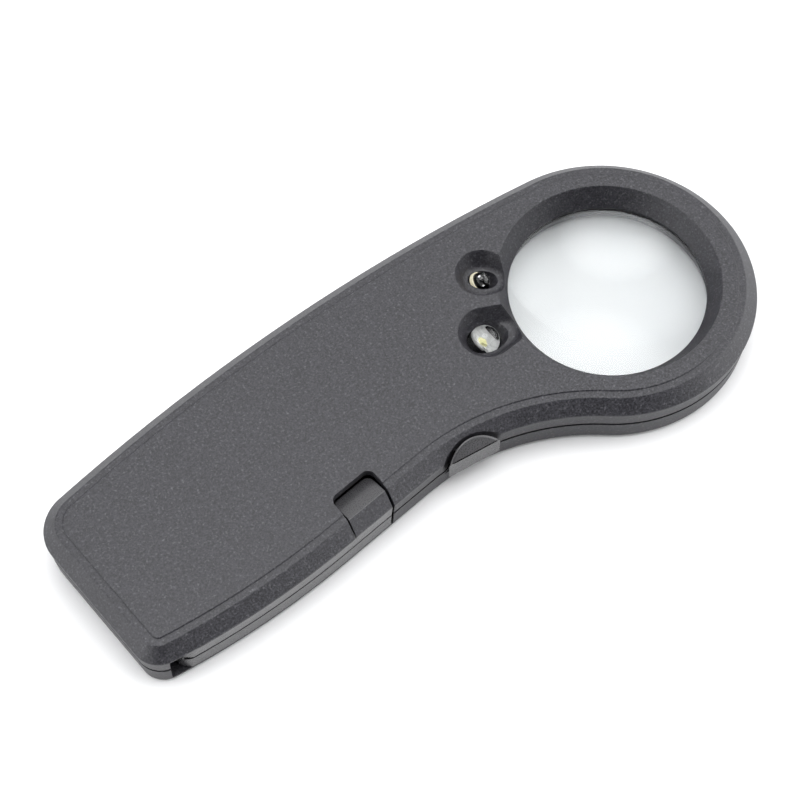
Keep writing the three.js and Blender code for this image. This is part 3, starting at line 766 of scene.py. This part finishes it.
def round_edges(made, wanted, radius, segments=5):
    """Rounds the edges whose middle and length vector the test accepts."""
    work = bmesh.new()
    work.from_mesh(made.data)
    bmesh.ops.remove_doubles(work, verts=work.verts, dist=1e-4)
    chosen = [e for e in work.edges if wanted((e.verts[0].co + e.verts[1].co) / 2, e)]
    bmesh.ops.bevel(work, geom=chosen, offset=radius, segments=segments, profile=0.5, affect="EDGES")
    work.to_mesh(made.data)
    work.free()
    return made


def push_button():
    centre = Vector((BUTTON_X, BUTTON_REAR - BUTTON_RADIUS))
    half = math.degrees(math.asin((BUTTON_FACE - centre.y) / BUTTON_RADIUS))
    cap = prism(circle(centre, BUTTON_RADIUS, half, 180 - half, 40), BUTTON_BOTTOM, FACE)
    tilt = Vector((0, -1, 1)).normalized()
    facet = tilt.dot(Vector((0, BUTTON_FACE, SHOULDER)))
    cut(cap, beyond(tilt, facet))

    def on_rim(middle, edge):
        high = all(abs(tilt.dot(v.co) - facet) < 1e-3 for v in edge.verts)
        return high and middle.y > BUTTON_FACE + 0.01

    round_edges(cap, on_rim, 0.7, 6)
    return join(
        cap,
        block(BUTTON_X - STEM_HALF, BUTTON_X + STEM_HALF, -14, -12.0, 4.8, 7.7),
        block(BUTTON_X - FLANGE_HALF, BUTTON_X + FLANGE_HALF, -12.1, -11.2, 3.0, 7.9),
    )


# ---------------------------------------------------------------- lens, LEDs, cells, screws


def lens():
    def sag(r):
        return (LENS_RADIUS**2 - r**2) / (2 * LENS_CURVATURE)

    radii = [LENS_RADIUS * i / 24 for i in range(25)]
    lower = [Vector((r, LENS_EDGE[0] - sag(r))) for r in radii]
    upper = [Vector((r, LENS_EDGE[1] + sag(r))) for r in reversed(radii)]
    return turned(lower + upper, 160)


def led_dome(led):
    radius, body, flange = led["radius"], led["body"], led["flange"]
    front = FLANGE_THICK - body
    corners = [(0, -body, 0), (flange, -body, 0.12), (flange, front, 0.15), (radius, front, 0.1)]
    path = rounded([*corners, (radius, -0.01, 0)])
    path += [heading(angle) * radius for angle in range(0, 90, 5)]
    path.append(Vector((0, radius)))
    return turned(path, 72, led_place(led))


def led_cup():
    """The white LED's bright plate, notched at the side, as the epoxy shows it from in front."""
    path = rounded([(0, -0.75, 0), (1.9, -0.75, 0.1), (2.1, -0.3, 0.1), (0, -0.5, 0)])
    plate = turned(path, 72, led_place(WHITE_LED))
    notch = block(0.95, 3, -0.45, 0.45, -1.2, 0.2)
    notch.data.transform(led_place(WHITE_LED) @ Matrix.Rotation(NOTCH_SIDE, 4, "Z"))
    return cut(plate, notch)


def led_chip():
    """The white LED's square of phosphor."""
    chip = block(-0.42, 0.42, -0.42, 0.42, -0.46, -0.12)
    chip.data.transform(led_place(WHITE_LED) @ Matrix.Rotation(NOTCH_SIDE, 4, "Z"))
    return chip


def led_collar():
    """The warm ring round the small LED."""
    place = led_place(UV_LED)
    inner, outer = UV_LED["radius"] + 0.03, UV_LED["radius"] + 0.22

    def disc(radius, bottom, top):
        corners = ((0, bottom), (radius, bottom), (radius, top), (0, top))
        return turned([Vector(p) for p in corners], 72, place)

    return cut(disc(outer, -1.0, -0.4), disc(inner, -2, 0))


def coin_cell(bottom):
    radius, height = CELL_RADIUS, CELL_HEIGHT
    path = rounded(
        [
            (0, 0.04, 0),
            (radius - 2.2, 0.04, 0.05),
            (radius - 2.0, 0.0, 0.05),
            (radius - 1.6, 0.0, 0.1),
            (radius - 1.45, 0.25, 0.05),
            (radius - 1.2, 0.2, 0.05),
            (radius, 0.2, 0.25),
            (radius, height, 0.22),
            (radius - 0.7, height, 0.05),
            (radius - 0.8, height - 0.05, 0.05),
            (0, height - 0.05, 0),
        ],
        4,
    )
    return turned(path, 128, Matrix.Translation((CELL.x, CELL.y, bottom)))


def case_screw(x, y):
    """A pan-headed screw with a cross recess, head down."""
    low, high, tip = 0.35, 1.5, ROOF - 0.8
    path = rounded(
        [
            (0, low, 0),
            (SCREW_HEAD, low, 0.3),
            (SCREW_HEAD, high, 0.05),
            (SCREW_SHANK, high, 0),
            (SCREW_SHANK, tip, 0),
            (0, tip, 0),
        ]
    )
    screw = turned(path, 40, Matrix.Translation((x, y, 0)))
    arm, half_width, recess_top = 0.95, 0.17, 0.95
    return cut(
        screw,
        block(x - arm, x + arm, y - half_width, y + half_width, 0, recess_top),
        block(x - half_width, x + half_width, y - arm, y + arm, 0, recess_top),
    )


# ---------------------------------------------------------------- pieces

finish_piece(top_shell(), "case_top", "casing", SPECKLED, "speckled_case", "top_shell")
finish_piece(bottom_shell(), "case_bottom", "casing", SPECKLED, "speckled_case", "bottom_shell")
drawer = finish_piece(battery_tray(), "battery_drawer", "tray", SMOOTH, "smooth_case", "battery_tray")
drawer.data.materials.append(SPECKLED)
for face in drawer.data.polygons:
    on_bevel = face.normal.z > 0.5 and face.normal.xy.dot(SIDE) > 0.4
    face.material_index = int(on_bevel and face.center.z > SHOULDER * MM)
finish_piece(push_button(), "light_button", "button", SMOOTH, "smooth_case", "push_button")
finish_piece(lens(), "reading_lens", "casing", LENS_GLASS, "lens_acrylic", "lens")
finish_piece(led_dome(WHITE_LED), "white_lamp", "casing", EPOXY, "clear_epoxy", "white_led")
finish_piece(led_dome(UV_LED), "uv_lamp", "casing", EPOXY, "clear_epoxy", "uv_led")
finish_piece(led_cup(), "white_lamp_cup", "casing", REFLECTOR, None)
finish_piece(led_chip(), "white_lamp_chip", "casing", PHOSPHOR, None)
finish_piece(led_collar(), "uv_lamp_collar", "casing", GOLDEN, None)
finish_piece(coin_cell(CELL_BOTTOM), "cell_below", "tray", CELL_STEEL, "cell_steel", "coin_cell_lower")
upper_cell = coin_cell(CELL_BOTTOM + CELL_HEIGHT + 0.1)
finish_piece(upper_cell, "cell_above", "tray", CELL_STEEL, "cell_steel", "coin_cell_upper")
for i, (x, y) in enumerate(SCREWS):
    finish_piece(case_screw(x, y), f"screw_{i + 1}", "casing", STEEL, "steel", f"case_screw_{i + 1}")

NODE_LOOKS = {
    "white_led_anode": TINNED,
    "white_led_cathode": TINNED,
    "uv_led_anode": TINNED,
    "uv_led_cathode": TINNED,
    "negative_contact": TINNED,
    "positive_contact": TINNED,
    "circuit_board": BOARD_GREEN,
    "white_led_resistor": BLACK,
    "uv_led_resistor": BLACK,
    "switch_base": BLACK,
    "switch_cover": STEEL,
    "switch_plunger": RED,
    "tray_pivot_pin": STEEL,
}
for node, look in NODE_LOOKS.items():
    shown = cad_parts[node]
    shown.data.materials.clear()
    shown.data.materials.append(look)

# ---------------------------------------------------------------- floor, light, camera

FLOOR_HALF = 3  # metres
corners = [(x * FLOOR_HALF, y * FLOOR_HALF, 0) for x, y in ((-1, -1), (1, -1), (1, 1), (-1, 1))]
floor = solid(corners, [(0, 1, 2, 3)], "studio_floor")
paper, paper_tree, paper_shader = shader("studio_paper", Roughness=0.9)
tone = ramp(paper_tree, grain(paper_tree, 12, 2.0), (0.3, (0.86, 0.86, 0.86)), (0.7, (0.88, 0.88, 0.88)))
paper_tree.links.new(tone, paper_shader.inputs["Base Color"])
floor.data.materials.append(paper)

VIEW_TURN = 30.64  # degrees from the picture's right to the frame's X
ELEVATION = 60.5
DISTANCE = 0.300
LOOK_AT = Vector((-0.00274, -0.00115, 0.00835))

ANGLE_OF_VIEW = 2 * math.atan(400 / 1890)


def direction_of(azimuth, elevation):
    """A unit vector at an azimuth from the picture's right and an elevation above the table, in degrees."""
    level = heading(azimuth - VIEW_TURN) * math.cos(math.radians(elevation))
    return Vector((*level, math.sin(math.radians(elevation))))


back = direction_of(270, ELEVATION)
camera = bpy.data.objects.new("camera", bpy.data.cameras.new("camera"))
camera.data.angle = ANGLE_OF_VIEW
camera.data.clip_start = 0.01
camera.data.clip_end = 20
camera.location = LOOK_AT + back * DISTANCE
camera.rotation_euler = (-back).to_track_quat("-Z", "Y").to_euler()
bpy.context.scene.collection.objects.link(camera)
bpy.context.scene.camera = camera

world = bpy.data.worlds.new("studio")
world.use_nodes = True
sky = world.node_tree
direction = sky.nodes.new("ShaderNodeTexCoord").outputs["Generated"]


def lobe(azimuth, elevation, full, none, strength):
    """A soft patch of the surrounding light: whole within one angle of its middle, gone at another."""
    dot = sky.nodes.new("ShaderNodeVectorMath")
    dot.operation = "DOT_PRODUCT"
    dot.inputs[1].default_value = direction_of(azimuth, elevation)
    sky.links.new(direction, dot.inputs[0])
    shape = sky.nodes.new("ShaderNodeMapRange")
    shape.interpolation_type = "SMOOTHSTEP"
    shape.inputs["From Min"].default_value = math.cos(math.radians(none))
    shape.inputs["From Max"].default_value = math.cos(math.radians(full))
    shape.inputs["To Max"].default_value = strength
    sky.links.new(dot.outputs["Value"], shape.inputs["Value"])
    return shape.outputs["Result"]


SKY = 1.0
LOBES = [
    (270, 24, 36, 64, -0.99),  # dark toward the camera, which the near bevel mirrors
    (92, 62, 16, 42, 0.66),  # high at the back, which the face mirrors
    (0, 90, 12, 28, 3.8),  # overhead, through the lens
    (10, 10, 24, 54, 2.2),  # low at the right
    (205, 10, 22, 52, 1.9),  # low at the left
]
light = None
for patch in LOBES:
    total = sky.nodes.new("ShaderNodeMath")
    total.operation = "ADD"
    total.inputs[1].default_value = SKY
    if light is not None:
        sky.links.new(light, total.inputs[1])
    sky.links.new(lobe(*patch), total.inputs[0])
    light = total.outputs["Value"]
backdrop = sky.nodes["Background"]
backdrop.inputs["Color"].default_value = (0.985, 0.99, 1.0, 1)
sky.links.new(light, backdrop.inputs["Strength"])
bpy.context.scene.world = world
bpy.context.scene.view_settings.view_transform = "Standard"
